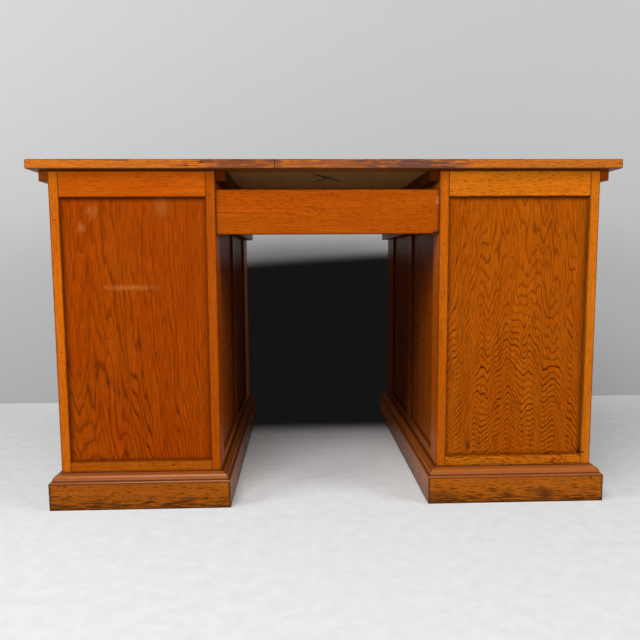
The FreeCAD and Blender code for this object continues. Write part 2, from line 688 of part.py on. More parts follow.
def drawer_nodes(name, x, opening, side_top, rear, knob_places):
    """One drawer in its opening: the front, the box of sides, back and bottom, and the knobs."""
    x = sorted(x)
    run = opening[0] + RUN_GAP
    front = block(
        (x[0] + FRONT_GAP, x[1] - FRONT_GAP), (FRONT_BACK, FRONT_FACE),
        (opening[0] + FRONT_LIFT, opening[1] - FRONT_GAP),
    )
    height = (run, side_top)
    bottom_low = run + DRAWER_BOTTOM_LIFT
    bottom_top = bottom_low + DRAWER_BOTTOM_THICKNESS
    inner = (x[0] + SIDE_GAP + SIDE_THICKNESS, x[1] - SIDE_GAP - SIDE_THICKNESS)
    bottom = block(
        (inner[0] - DRAWER_BOTTOM_TONGUE, inner[1] + DRAWER_BOTTOM_TONGUE),
        (rear, FRONT_BACK + DRAWER_BOTTOM_TONGUE), (bottom_low, bottom_top),
    )
    sides = []
    for width in ((x[0] + SIDE_GAP, inner[0]), (inner[1], x[1] - SIDE_GAP)):
        board = joined(block(width, (rear, FRONT_BACK), height), *dovetails(width, height))
        sides.append(cut_by(board, [bottom]))
    back = block(inner, (rear, rear + BACK_THICKNESS), (bottom_top, side_top - BACK_DROP))
    middle = middle_of((opening[0] + FRONT_LIFT, opening[1] - FRONT_GAP))
    centres = [FreeCAD.Vector(place, FRONT_FACE, middle) for place in knob_places]
    front = cut_by(front, sides + [bottom] + [knob_hole(centre) for centre in centres])
    return {
        f"{name}_front": [front],
        f"{name}_box": sides + [back, bottom],
        f"{name}_knob" + ("s" if len(centres) > 1 else ""): [knob(centre) for centre in centres],
    }


def pedestal_drawer_nodes(name, sign):
    nodes = {}
    x = across(sign, POST_THICKNESS, PEDESTAL_WIDTH - POST_THICKNESS)
    rear = REAR + RAIL_THICKNESS + DRAWER_REAR_GAP
    for number, opening in enumerate(opening_heights(), 1):
        side_top = opening[1] - SIDE_DROP
        nodes.update(drawer_nodes(f"{name}_drawer_{number}", x, opening, side_top, rear, [middle_of(x)]))
    return nodes


def centre_drawer_nodes():
    opening = (CENTRE_RUNNER_TOP, UNDERSIDE)
    side_top = UNDERSIDE - BATTEN_HEIGHT - CENTRE_SIDE_CLEARANCE
    places = (-CENTRE_KNOB_SPACING / 2, CENTRE_KNOB_SPACING / 2)
    width = (-HALF_KNEE_HOLE, HALF_KNEE_HOLE)
    return drawer_nodes("centre_drawer", width, opening, side_top, CENTRE_DRAWER_REAR, places)


def desk_nodes():
    nodes = top_nodes()
    nodes.update(knee_hole_nodes())
    for name, sign in SIDES.items():
        nodes.update(pedestal_nodes(name, sign))
        nodes.update(pedestal_drawer_nodes(name, sign))
    nodes.update(centre_drawer_nodes())
    return nodes


def main():
    os.makedirs("parts", exist_ok=True)
    for node, solids in desk_nodes().items():
        shape = solids[0] if len(solids) == 1 else Part.makeCompound(solids)
        shape.exportStep(os.path.join("parts", f"{node}.step"))


main()
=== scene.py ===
"""Looks of the twin pedestal desk: worn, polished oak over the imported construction, in a pale studio."""
import json
import math
import random
from collections import namedtuple
from functools import partial

import bmesh
import bpy
from mathutils import Matrix, Vector


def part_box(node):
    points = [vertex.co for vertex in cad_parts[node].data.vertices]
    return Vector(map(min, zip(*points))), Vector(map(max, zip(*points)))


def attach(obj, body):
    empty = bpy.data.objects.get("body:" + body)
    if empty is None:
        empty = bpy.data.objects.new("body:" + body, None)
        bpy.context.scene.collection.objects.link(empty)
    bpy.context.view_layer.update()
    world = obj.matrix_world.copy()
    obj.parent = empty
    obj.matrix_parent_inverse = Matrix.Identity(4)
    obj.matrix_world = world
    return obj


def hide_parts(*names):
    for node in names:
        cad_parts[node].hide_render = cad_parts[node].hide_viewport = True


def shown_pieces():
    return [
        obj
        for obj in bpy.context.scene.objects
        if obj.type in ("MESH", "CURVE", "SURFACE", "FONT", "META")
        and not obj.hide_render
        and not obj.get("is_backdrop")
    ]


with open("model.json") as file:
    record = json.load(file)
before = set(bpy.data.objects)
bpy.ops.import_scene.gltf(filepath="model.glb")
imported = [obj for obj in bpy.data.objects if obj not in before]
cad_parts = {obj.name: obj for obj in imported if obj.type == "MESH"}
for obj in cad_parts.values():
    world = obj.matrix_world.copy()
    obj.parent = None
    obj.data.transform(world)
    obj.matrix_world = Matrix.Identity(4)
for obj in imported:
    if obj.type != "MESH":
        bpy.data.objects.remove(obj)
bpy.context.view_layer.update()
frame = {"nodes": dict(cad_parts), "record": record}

MM = 0.001
METRE = 1.0

# Places on the desk, read from the frame
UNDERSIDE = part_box("top_frame")[0].z
PLINTH_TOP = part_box("left_plinth")[1].z
KNEE_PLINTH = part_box("right_rear_posts")[0].x

# Camera, as the photograph's perspective gives it for this desk
IMAGE_SIDE = 640
FOCAL_PIXELS = 605.8
CAMERA_PLACE = Vector((-64.0, -1712.2, 547.4)) * MM
CAMERA_YAW = math.radians(1.926)
CAMERA_PITCH = math.radians(5.684)
CAMERA_ROLL = math.radians(-0.326)
SENSOR_WIDTH = 36.0

# Wear on the wood's edges
WELD = 0.001 * MM
FLAT_ANGLE = math.radians(1.0)
ARRIS_ANGLE = math.radians(30)
SHARP_ANGLE = math.radians(32)
SQUARE_FACE = math.cos(FLAT_ANGLE)
ARRIS_LENGTH = 12 * MM
ARRIS_WEAR = 0.9 * MM
TOP_WEAR = 2.0 * MM
TOP_JOINT_WEAR = 0.4 * MM
TOP_PLANKS = 6
PLINTH_WEAR = 1.0 * MM
TOP_GAP = 2.0 * MM

# Stage
FLOOR_SIDE = 9 * METRE
WALL_PLACE = 0.63 * METRE
WALL_HEIGHT = 3 * METRE
# A card just behind the knee hole carries a painted shadow, whose soft top slants by the tilt
CARD_PLACE = 0.41 * METRE
CARD_WIDTH = 0.5 * METRE
CARD_HEIGHT = 0.6 * METRE
CARD_TILT = 0.063
# The painted shadow in the knee hole: its half width on the floor, where it starts and ends along the floor,
# and where its top fades on the card
SHADE_WIDTH = (0.26 * METRE, 0.23 * METRE)
SHADE_START = (0.14 * METRE, 0.30 * METRE)
SHADE_END = (0.45 * METRE, 0.41 * METRE)
SHADE_TOP = (0.572 * METRE, 0.528 * METRE)


def linear(code):
    """A scene colour, linear and opaque, from an sRGB hex code."""
    shares = [int(code[i:i + 2], 16) / 255 for i in (1, 3, 5)]
    return [s / 12.92 if s <= 0.04045 else ((s + 0.055) / 1.055) ** 2.4 for s in shares] + [1.0]


def add(tree, kind, settings=None, values=(), inputs=None):
    """Add a shader node. Values fill its open inputs in order, and inputs fill them by name.

    Each is a plain value, a socket, or a node whose first open output is meant.
    """
    node = tree.nodes.new(f"ShaderNode{kind}")
    for name, value in (settings or {}).items():
        setattr(node, name, value)
    fed = list(zip([socket for socket in node.inputs if socket.enabled], values))
    fed += [(node.inputs[name], value) for name, value in (inputs or {}).items()]
    for socket, value in fed:
        if isinstance(value, bpy.types.Node):
            value = next(output for output in value.outputs if output.enabled)
        if isinstance(value, bpy.types.NodeSocket):
            tree.links.new(value, socket)
        else:
            socket.default_value = value
    return node


def new_material(name):
    """An empty material, and the function that adds a node to it."""
    material = bpy.data.materials.new(name)
    material.use_nodes = True
    material.node_tree.nodes.clear()
    return material, partial(add, material.node_tree)


# Wood. Each board carries its own grain coordinates, so its growth rings run through it as in sawn wood.

ADD = {"operation": "ADD"}
SUBTRACT = {"operation": "SUBTRACT"}
MULTIPLY = {"operation": "MULTIPLY"}
DIVIDE = {"operation": "DIVIDE"}
MULTIPLY_ADD = {"operation": "MULTIPLY_ADD"}
MAXIMUM = {"operation": "MAXIMUM"}
MINIMUM = {"operation": "MINIMUM"}
LENGTH = {"operation": "LENGTH"}
SCALE = {"operation": "SCALE"}
SMOOTH = {"interpolation_type": "SMOOTHSTEP"}
BLEND = {"data_type": "RGBA"}
SEEDED = {"noise_dimensions": "4D"}
AROUND_Z = {"rotation_type": "Z_AXIS"}

# Each pattern's size across, through and along the grain, and its detail.
# Pores are drawn five times their real width, or they wouldn't show.
PATTERNS = {
    "ripple": ((36 * MM, 36 * MM, 300 * MM), 1.0),
    "wander": ((8 * MM, 8 * MM, 50 * MM), 1.0),
    "band": ((16 * MM, 16 * MM, 400 * MM), 2.0),
    "fibre": ((2.2 * MM, 2.2 * MM, 40 * MM), 1.0),
    "pore": ((2.0 * MM, 2.0 * MM, 12 * MM), 1.0),
    "blotch": ((90 * MM, 90 * MM, 200 * MM), 2.0),
    "scuff": ((6 * MM, 6 * MM, 20 * MM), 3.0),
}
WANDER_REACH = 1.4 * MM

# Growth rings: how much the lines fade up a board, where in a ring its early wood is darkest, where that
# wood ends, and the palest ring's share of the darkest one's line
TAPER = 0.45
RING_RISE = 0.1
EARLY_WOOD = 0.45
WEAK_RING = 0.45

# Shares of the patterns: where a pore begins and is full, and how strongly bands, blotches and scuffs count
PORE_RANGE = (0.03, 0.15)
PORE_CROWDING = 0.4
BAND_SHARE = 0.5
BLOTCH_SHARE = 0.5
RAGGED_SHARE = 1.6
OPEN_RANGE = (0.97, 0.55)

# How far painted shade, standing also for dirt, reaches from crevices, frames, rails and the seams of the
# moulding, and how far dirt reaches from the floor
CREVICE = 6 * MM
BORDER_DIRT_AND_SHADE = 12 * MM
RAIL_SHADOW = 14 * MM
PANEL_HIDDEN = 6 * MM
FLOOR_DIRT = 45 * MM
SEAM_DIRT_AND_SHADE = 2.2 * MM
MOULDING_HEIGHT = 20 * MM
MOULDING_SEAMS = (0, 15 * MM, MOULDING_HEIGHT)

# Polish: the depth of the pores in it, its refractive index, how much duller a pore is, and its tint
PORE_DEPTH = 0.3 * MM
POLISH_INDEX = 1.5
PORE_DULLNESS = 0.67
POLISH = "#ffa466"


def oak(name, pale, deep, line, lines=0.6, pores=0.5, fibre=0.12, relief=0.3, roughness=0.36, specular=0.15,
        polish=POLISH, arris_dirt=0.6, arris_width=2.5 * MM, crevice_dirt_and_shade=0.8, border_dirt_and_shade=0.0,
        floor_dirt=0.0, seams=(), worn=0.0, marks=()):
    """Oak: dark lines of early wood, short open pores, fine fibre, blotches, dirt along the arrises, and
    painted shade in crevices, along panel borders and in moulding seams.
    """
    material, node = new_material(name)
    names = ("board", "half", "pith", "figure", "tone")
    carried = {key: node("Attribute", {"attribute_name": key}).outputs["Vector"] for key in names}
    at, half, pith, figure, tone = (node("SeparateXYZ", None, [carried[key]]).outputs for key in names)
    place = node("TexCoord").outputs["Object"]
    noise = {}
    for key, (size, detail) in PATTERNS.items():
        scaled = node("VectorMath", MULTIPLY, [carried["board"], [1 / side for side in size]])
        noise[key] = node("TexNoise", SEEDED, [scaled, tone["Z"], 1.0, detail])
        noise[key] = node("Math", SUBTRACT, [noise[key], 0.5])

    # Growth rings about a pith that leans towards the board's face
    height = node("Math", DIVIDE, [at["Z"], half["Z"]])
    slope = node("Math", MULTIPLY_ADD, [height, -TAPER, 1.0])
    lean = node("Math", MULTIPLY, [node("Math", MULTIPLY, [at["Z"], pith["Z"]]), slope])
    depth = node("Math", SUBTRACT, [node("Math", SUBTRACT, [at["Y"], pith["Y"]]), lean])
    across = node("Math", SUBTRACT, [at["X"], pith["X"]])
    radius = node("VectorMath", LENGTH, [node("CombineXYZ", None, [across, depth])]).outputs["Value"]
    radius = node("Math", MULTIPLY_ADD, [noise["ripple"], figure["X"], radius])
    radius = node("Math", MULTIPLY_ADD, [noise["wander"], 2 * WANDER_REACH, radius])
    turns = node("Math", DIVIDE, [radius, figure["Y"]])
    part = node("Math", {"operation": "FRACT"}, [turns])
    number = node("Math", ADD, [node("Math", {"operation": "FLOOR"}, [turns]), tone["Z"]])
    chance = node("TexWhiteNoise", {"noise_dimensions": "1D"}, [number])
    vigour = node("MapRange", None, [chance, 0.0, 1.0, WEAK_RING, 1.0])
    rise = node("MapRange", SMOOTH, [part, 0.0, RING_RISE, 0.0, 1.0])
    fall = node("MapRange", SMOOTH, [part, RING_RISE, EARLY_WOOD, 1.0, 0.0])
    early = node("Math", MULTIPLY, [node("Math", MULTIPLY, [rise, fall]), vigour])
    early = node("Math", MULTIPLY, [early, node("Math", MULTIPLY, [figure["Z"], slope])])

    # Stained colour, darker in the lines and in the pores, which crowd in the early wood
    pore = node("MapRange", SMOOTH, [noise["pore"], *PORE_RANGE, 0.0, 1.0])
    crowded = node("Math", MULTIPLY_ADD, [early, PORE_CROWDING, figure["Z"]])
    pore = node("Math", MULTIPLY, [pore, crowded])
    streak = node("Math", MULTIPLY_ADD, [noise["fibre"], 4 * fibre, 1.0])
    streak = node("Math", MULTIPLY_ADD, [noise["band"], BAND_SHARE, streak])
    warmth = node("Math", MULTIPLY_ADD, [noise["blotch"], BLOTCH_SHARE, tone["Y"]])
    stain = node("Mix", BLEND, [warmth, linear(deep), linear(pale)])
    body = node("VectorMath", SCALE, [stain, node("Math", MULTIPLY, [streak, tone["X"]])])
    lined = node("Math", MULTIPLY, [early, lines])
    pitted = node("Math", MULTIPLY, [pore, pores])
    colour = node("Mix", BLEND, [node("Math", MAXIMUM, [lined, pitted]), body, linear(line)])

    # The distance to the nearest arris is the middle one of those to the three pairs of faces
    reach = node("VectorMath", {"operation": "ABSOLUTE"}, [carried["board"]])
    inset = node("SeparateXYZ", None, [node("VectorMath", SUBTRACT, [carried["half"], reach])]).outputs
    nearer = node("Math", MINIMUM, [inset["X"], inset["Y"]])
    further = node("Math", MAXIMUM, [inset["X"], inset["Y"]])
    arris = node("Math", MAXIMUM, [nearer, node("Math", MINIMUM, [further, inset["Z"]])])
    rubbed = node("MapRange", SMOOTH, [noise["scuff"], -0.2, 0.1, 0.55, 1.0])
    handled = node("MapRange", SMOOTH, [arris, arris_width, 0.0, 0.0, arris_dirt])
    dirt = node("Math", MULTIPLY, [handled, rubbed])
    # Painted shade in crevices and joints, from ambient occlusion, standing also for dirt
    if crevice_dirt_and_shade:
        open_share = node("AmbientOcclusion", {"samples": 4}, inputs={"Distance": CREVICE}).outputs["AO"]
        crevice = node("MapRange", SMOOTH, [open_share, *OPEN_RANGE, 0.0, crevice_dirt_and_shade])
        dirt = node("Math", MAXIMUM, [dirt, crevice])
    # Painted shade along the panel's border, standing also for dirt, and a painted shadow twice as dark under
    # the top rail
    if border_dirt_and_shade:
        rim = node("Math", MINIMUM, [inset["X"], inset["Z"]])
        dirt_and_shade_band = node("MapRange", SMOOTH, [rim, PANEL_HIDDEN + BORDER_DIRT_AND_SHADE, PANEL_HIDDEN, 0.0, border_dirt_and_shade])
        dirt = node("Math", MAXIMUM, [dirt, dirt_and_shade_band])
        upper = node("Math", SUBTRACT, [half["Z"], at["Z"]])
        ends = (PANEL_HIDDEN + RAIL_SHADOW, PANEL_HIDDEN)
        dirt_and_shade_band = node("MapRange", SMOOTH, [upper, *ends, 0.0, 2 * border_dirt_and_shade])
        dirt = node("Math", MAXIMUM, [dirt, dirt_and_shade_band])
    above = node("SeparateXYZ", None, [place]).outputs["Z"]
    if floor_dirt:
        low = node("MapRange", None, [above, FLOOR_DIRT, 0.0, 0.04, 0.3])
        streaky = node("Math", MULTIPLY_ADD, [noise["scuff"], 0.4, noise["fibre"]])
        streaky = node("MapRange", SMOOTH, [node("Math", ADD, [streaky, low]), 0.16, 0.3, 0.0, floor_dirt])
        dirt = node("Math", MAXIMUM, [dirt, streaky])
    # Painted shade, standing also for dirt, in lines along the moulding: where it meets the post, in its quirk
    # and under its nose
    for seam in seams:
        gap = node("Math", {"operation": "ABSOLUTE"}, [node("Math", SUBTRACT, [above, PLINTH_TOP - seam])])
        dirt_and_shade_band = node("MapRange", SMOOTH, [gap, SEAM_DIRT_AND_SHADE, 0.0, 0.0, 0.8])
        dirt = node("Math", MAXIMUM, [dirt, dirt_and_shade_band])
    if worn:
        bare = node("MapRange", SMOOTH, [noise["blotch"], -0.1, 0.1, 0.0, worn])
        patchy = node("MapRange", SMOOTH, [noise["scuff"], -0.12, 0.12, 0.5, 1.0])
        dirt = node("Math", MAXIMUM, [dirt, node("Math", MULTIPLY, [bare, patchy])])
    # Besides dirt, this darkening holds painted shade: in crevices, along panel borders and in the moulding's
    # seams
    colour = node("Mix", BLEND, [dirt, colour, linear(line)])
    uneven = node("Math", MULTIPLY_ADD, [noise["fibre"], 1.4, noise["scuff"]])
    for mark in marks:
        offset = node("VectorMath", SUBTRACT, [place, [side * MM for side in mark.centre]])
        if mark.turn:
            back = -math.radians(mark.turn)
            offset = node("VectorRotate", AROUND_Z, inputs={"Vector": offset, "Angle": back})
        spread = node("VectorMath", DIVIDE, [offset, [side * MM for side in mark.reach]])
        far = node("VectorMath", LENGTH, [spread]).outputs["Value"]
        ragged = node("Math", MULTIPLY_ADD, [uneven, RAGGED_SHARE, far])
        share = node("MapRange", SMOOTH, [ragged, 1.0, 0.2, 0.0, mark.strength])
        colour = node("Mix", BLEND, [share, colour, linear(mark.colour)])

    # Polish that has sunk into the pores
    dull = node("Math", MULTIPLY_ADD, [pore, PORE_DULLNESS * relief, roughness])
    sunk = node("Math", MULTIPLY, [node("Math", MAXIMUM, [pore, early]), -1.0])
    bump = node("Bump", inputs={"Strength": relief, "Distance": PORE_DEPTH, "Height": sunk})
    shader = node("BsdfPrincipled", inputs={
        "Base Color": colour, "Roughness": dull, "Normal": bump, "IOR": POLISH_INDEX,
        "Specular IOR Level": specular, "Specular Tint": linear(polish),
    })
    node("OutputMaterial", inputs={"Surface": shader})
    return material


# Marks that show in the photograph: centre and reach in millimetres, strength, colour, and degrees about Z
Mark = namedtuple("Mark", "centre reach strength colour turn", defaults=(0,))
NAIL = "#1a0c06"
HAZE = "#c88040"
SCUFF = "#3a1c10"
PENCIL = "#241a12"
FRAME_MARKS = (
    Mark((-586, -385, 636), (3, 4, 3), 0.9, NAIL),
    Mark((-584, -385, 349), (3, 4, 3), 0.8, NAIL),
    Mark((580, -385, 106), (5, 4, 4), 0.9, NAIL),
    Mark((510, -385, 88), (11, 4, 6), 0.7, NAIL),
    Mark((-349, -385, 92), (5, 4, 4), 0.7, NAIL),
    Mark((239, -380, 675), (6, 4, 14), 0.6, HAZE),
    Mark((238, -380, 606), (10, 4, 5), 0.8, NAIL),
)
PANEL_MARKS = (
    Mark((-510, -379, 655), (14, 9, 20), 0.2, HAZE),
    Mark((-533, -379, 617), (12, 9, 14), 0.25, HAZE),
    Mark((-361, -379, 661), (22, 9, 26), 0.15, HAZE),
    Mark((-434, -379, 489), (70, 9, 8), 0.3, HAZE),
    Mark((-486, -379, 281), (9, 9, 14), 0.5, SCUFF),
    Mark((-468, -379, 258), (6, 9, 20), 0.4, SCUFF),
    Mark((-360, -379, 270), (5, 9, 12), 0.4, SCUFF),
    Mark((-455, -379, 211), (6, 9, 16), 0.35, SCUFF),
    Mark((317, -379, 124), (7, 9, 14), 0.7, SCUFF),
    Mark((573, -379, 111), (7, 9, 10), 0.85, NAIL),
)
PLINTH_MARKS = (
    Mark((-597, -407, 56), (3, 4, 3), 0.9, NAIL),
    Mark((-582, -407, 53), (3, 4, 3), 0.8, NAIL),
    Mark((-248, -407, 58), (3, 4, 3), 0.9, NAIL),
    Mark((-252, -407, 13), (3, 4, 3), 0.8, NAIL),
    Mark((590, -407, 54), (3, 4, 3), 0.9, NAIL),
    Mark((435, -407, 57), (4, 4, 2), 0.7, NAIL),
    Mark((488, -407, 16), (22, 4, 10), 0.75, SCUFF),
    Mark((476, -407, 28), (40, 4, 9), 0.6, SCUFF),
    Mark((250, -407, 18), (40, 4, 20), 0.5, SCUFF),
    Mark((-310, -407, 22), (30, 4, 6), 0.6, SCUFF),
)
TOP_MARKS = (
    Mark((-190, -403, 752), (150, 12, 40), 0.9, "#6c3a26"),
    Mark((30, -403, 752), (210, 12, 60), 0.75, "#7c4630"),
    Mark((195, -403, 752), (130, 12, 40), 1.0, "#644238"),
    Mark((60, -404, 761), (400, 6, 6), 0.8, "#4a3028"),
    Mark((-440, -404, 761), (260, 6, 5), 0.8, "#4a3028"),
    Mark((-299, -403, 752), (7, 12, 10), 0.8, "#5c2c10"),
    Mark((-268, -403, 756), (9, 12, 8), 0.7, "#5c2c10"),
    Mark((-114, -403, 750), (1.2, 30, 30), 0.9, NAIL),
)
UNDERSIDE_MARKS = (
    Mark((6, -252, 740), (110, 8, 6), 1.0, PENCIL, 62),
    Mark((0, -243, 740), (84, 7, 6), 0.9, PENCIL, -67),
)


def frame_oak():
    """Polished oak, rift sawn: straight fine lines and short pores under an orange stained polish."""
    return oak("polished_oak_frame", "#cc7616", "#b44802", "#4a1a02", lines=0.4, pores=0.45, fibre=0.16,
               arris_dirt=0.85, arris_width=3.5 * MM, marks=FRAME_MARKS)


def panel_oak():
    """Polished oak, flat sawn: arched dark lines, and painted shade along the frame, standing also for dirt,
    darkest under the top rail.
    """
    return oak("polished_oak_panel", "#bc6a10", "#a83c02", "#401402", lines=0.8, pores=0.15, fibre=0.3,
               specular=0.06, arris_dirt=0.2, border_dirt_and_shade=0.45, marks=PANEL_MARKS)


def top_oak():
    """Polished oak of the top: browner, with dark rubbed arrises and patches where the polish is gone."""
    return oak("polished_oak_top", "#ec9438", "#cc6414", "#2c140c", lines=0.35, pores=0.5, arris_dirt=0.95,
               arris_width=3 * MM, worn=0.25, marks=TOP_MARKS)


def plinth_oak():
    """Polished oak near the floor: open pores full of dirt that run together along its lower edge, and a
    painted shade line under the moulding's nose.
    """
    return oak("scuffed_oak_plinth", "#c06c1a", "#9c4a08", "#200e04", lines=0.35, pores=0.7, specular=0.4,
               arris_dirt=1.0, arris_width=7 * MM, floor_dirt=0.8, seams=(MOULDING_HEIGHT,),
               marks=PLINTH_MARKS)


def moulding_oak():
    """Polished oak of the plinth's moulding: rubbed smooth by feet and cloths, so it catches the light, with
    painted shade lines along its seams.
    """
    return oak("rubbed_oak_moulding", "#ac5e18", "#964610", "#281006", lines=0.3, pores=0.05, relief=0.03,
               roughness=0.22, specular=0.9, polish="#ffd4bc", arris_dirt=0.4, arris_width=2 * MM,
               crevice_dirt_and_shade=0.0, seams=MOULDING_SEAMS)


def raw_oak():
    """Planed oak without polish: pale brown and matt."""
    return oak("planed_oak_inside", "#d2a262", "#ae7a40", "#6a4420", lines=0.45, roughness=0.7,
               arris_dirt=0.3)


def underside_oak():
    """Planed oak under the top: never polished, with the joiner's pencil cross."""
    return oak("planed_oak_underside", "#e4b270", "#c48e50", "#6a4420", lines=0.45, roughness=0.7,
               arris_dirt=0.3, marks=UNDERSIDE_MARKS)


def screw_steel():
    """Dulled steel screw heads, turned and slotted: grey, with fine scratches."""
    material, node = new_material("dulled_steel_screw")
    place = node("TexCoord").outputs["Object"]
    grit = node("TexNoise", inputs={"Vector": place, "Scale": 1 / (0.6 * MM), "Detail": 2.0})
    shade = node("Mix", BLEND, [grit, linear("#4c4844"), linear("#7c766e")])
    dull = node("MapRange", None, [grit, 0.3, 0.7, 0.35, 0.6])
    shader = node("BsdfPrincipled", inputs={"Base Color": shade, "Roughness": dull, "Metallic": 1.0})
    node("OutputMaterial", inputs={"Surface": shader})
    return material


# Boards

def closed_runs(work):
    """The faces of each board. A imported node's triangles come board by board, up to where a board closes."""
    open_sides = set()
    run = []
    for face in work.faces:
        places = [tuple(round(c / WELD) for c in vert.co) for vert in face.verts]
        run.append(face)
        for side in zip(places, places[1:] + places[:1]):
            twin = side[::-1]
            if twin in open_sides:
                open_sides.remove(twin)
            else:
                open_sides.add(side)
        if not open_sides:
            yield run
            run = []
    if run:
        yield run


def islands(work):
    """The vertices of each connected piece, in the mesh's own order."""
    for vert in work.verts:
        vert.tag = False
    for start in work.verts:
        if start.tag:
            continue
        start.tag = True
        found = [start]
        for vert in found:
            for edge in vert.link_edges:
                other = edge.other_vert(vert)
                if not other.tag:
                    other.tag = True
                    found.append(other)
        yield found


def welded_boards(node):
    """A node's boards, each welded by itself, with flat faces joined."""
    work = bmesh.new()
    work.from_mesh(frame["nodes"][node].data)
    runs = [sorted({vert for face in run for vert in face.verts}, key=lambda vert: vert.index)
            for run in list(closed_runs(work))]
    for verts in runs:
        bmesh.ops.remove_doubles(work, verts=verts, dist=WELD)
    bmesh.ops.dissolve_limit(work, angle_limit=FLAT_ANGLE, verts=work.verts, edges=work.edges)
    return work


def wear_arrises(work, wear):
    """Round the long arrises, as handling does."""
    arrises = [edge for edge in work.edges if edge.is_manifold
               and edge.calc_length() > ARRIS_LENGTH and edge.calc_face_angle() > ARRIS_ANGLE]
    bmesh.ops.bevel(work, geom=arrises, offset=wear, offset_type="OFFSET", segments=2, profile=0.5,
                    affect="EDGES", clamp_overlap=True, material=-1)
    work.normal_update()


def corners(verts):
    """The lowest and highest corner of some vertices."""
    low = Vector(min(vert.co[axis] for vert in verts) for axis in range(3))
    high = Vector(max(vert.co[axis] for vert in verts) for axis in range(3))
    return low, high


def place_order(verts):
    """Boards are numbered from the middle outwards, then upwards, then from the left and from the rear."""
    middle = sum(corners(verts), Vector()) / 2
    return [round(place / MM) for place in (abs(middle.x), middle.z, middle.x, middle.y)]


def grain_order(low, high):
    """The axes across, through and along the grain: a board is longest along it and thinnest through it."""
    span = high - low
    thin, wide, long = sorted(range(3), key=lambda axis: span[axis])
    return wide, thin, long


def give_grain(work, node, sawn):
    """Give each board of a piece its grain coordinates, its growth rings and its own tone."""
    names = ("board", "half", "pith", "figure", "tone")
    layers = {name: work.verts.layers.float_vector.new(name) for name in names}
    for number, verts in enumerate(sorted(islands(work), key=place_order)):
        draw = random.Random(f"{node} {number}")
        low, high = corners(verts)
        order = grain_order(low, high)
        looks = sawn | LOOKS.get(node, {}) | LOOKS.get((node, number), {})
        middle = (low + high) / 2
        size = Vector((high - low)[axis] / 2 for axis in order)
        pith = Vector(looks["pith"])
        pith.x = pith.x * draw.choice((-1, 1)) + draw.uniform(-1, 1) * looks["shift"]
        vary = looks["vary"]
        light = looks["light"] * (1 + draw.uniform(-vary, vary))
        warmth = looks["warmth"] + 2 * draw.uniform(-vary, vary)
        tone = Vector((light, warmth, looks.get("seed", draw.uniform(0, 50))))
        for vert in verts:
            vert[layers["board"]] = Vector((vert.co - middle)[axis] for axis in order)
            vert[layers["half"]] = size
            vert[layers["pith"]] = pith
            vert[layers["figure"]] = looks["figure"]
            vert[layers["tone"]] = tone


def finished(work, node, materials, name=None):
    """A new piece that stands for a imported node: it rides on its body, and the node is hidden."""
    name = name or f"{node}_oak"
    for face in work.faces:
        face.smooth = max(abs(side) for side in face.normal) < SQUARE_FACE
    for edge in work.edges:
        edge.smooth = edge.is_manifold and edge.calc_face_angle() < SHARP_ANGLE
    mesh = bpy.data.meshes.new(name)
    work.to_mesh(mesh)
    work.free()
    for material in materials:
        mesh.materials.append(material)
    piece = bpy.data.objects.new(name, mesh)
    bpy.context.scene.collection.objects.link(piece)
    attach(piece, body_of_node[node])
    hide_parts(node)
    return piece


# How boards are sawn: where the pith lies from the middle, across and through the board, and its lean;
# how far the pith's place varies; the reach of the rings' ripple, their spacing and their lines' strength;
# lightness, warmth and how much both vary from board to board
RIFT = {
    "pith": (0.30, 0.30, 0.01), "shift": 0.1, "figure": (0.02, 0.0034, 0.7),
    "light": 1.0, "warmth": 0.5, "vary": 0.05,
}
FLAT = {
    "pith": (0.04, 0.40, 0.12), "shift": 0.1, "figure": (0.02, 0.0034, 0.8),
    "light": 1.0, "warmth": 0.4, "vary": 0.05,
}

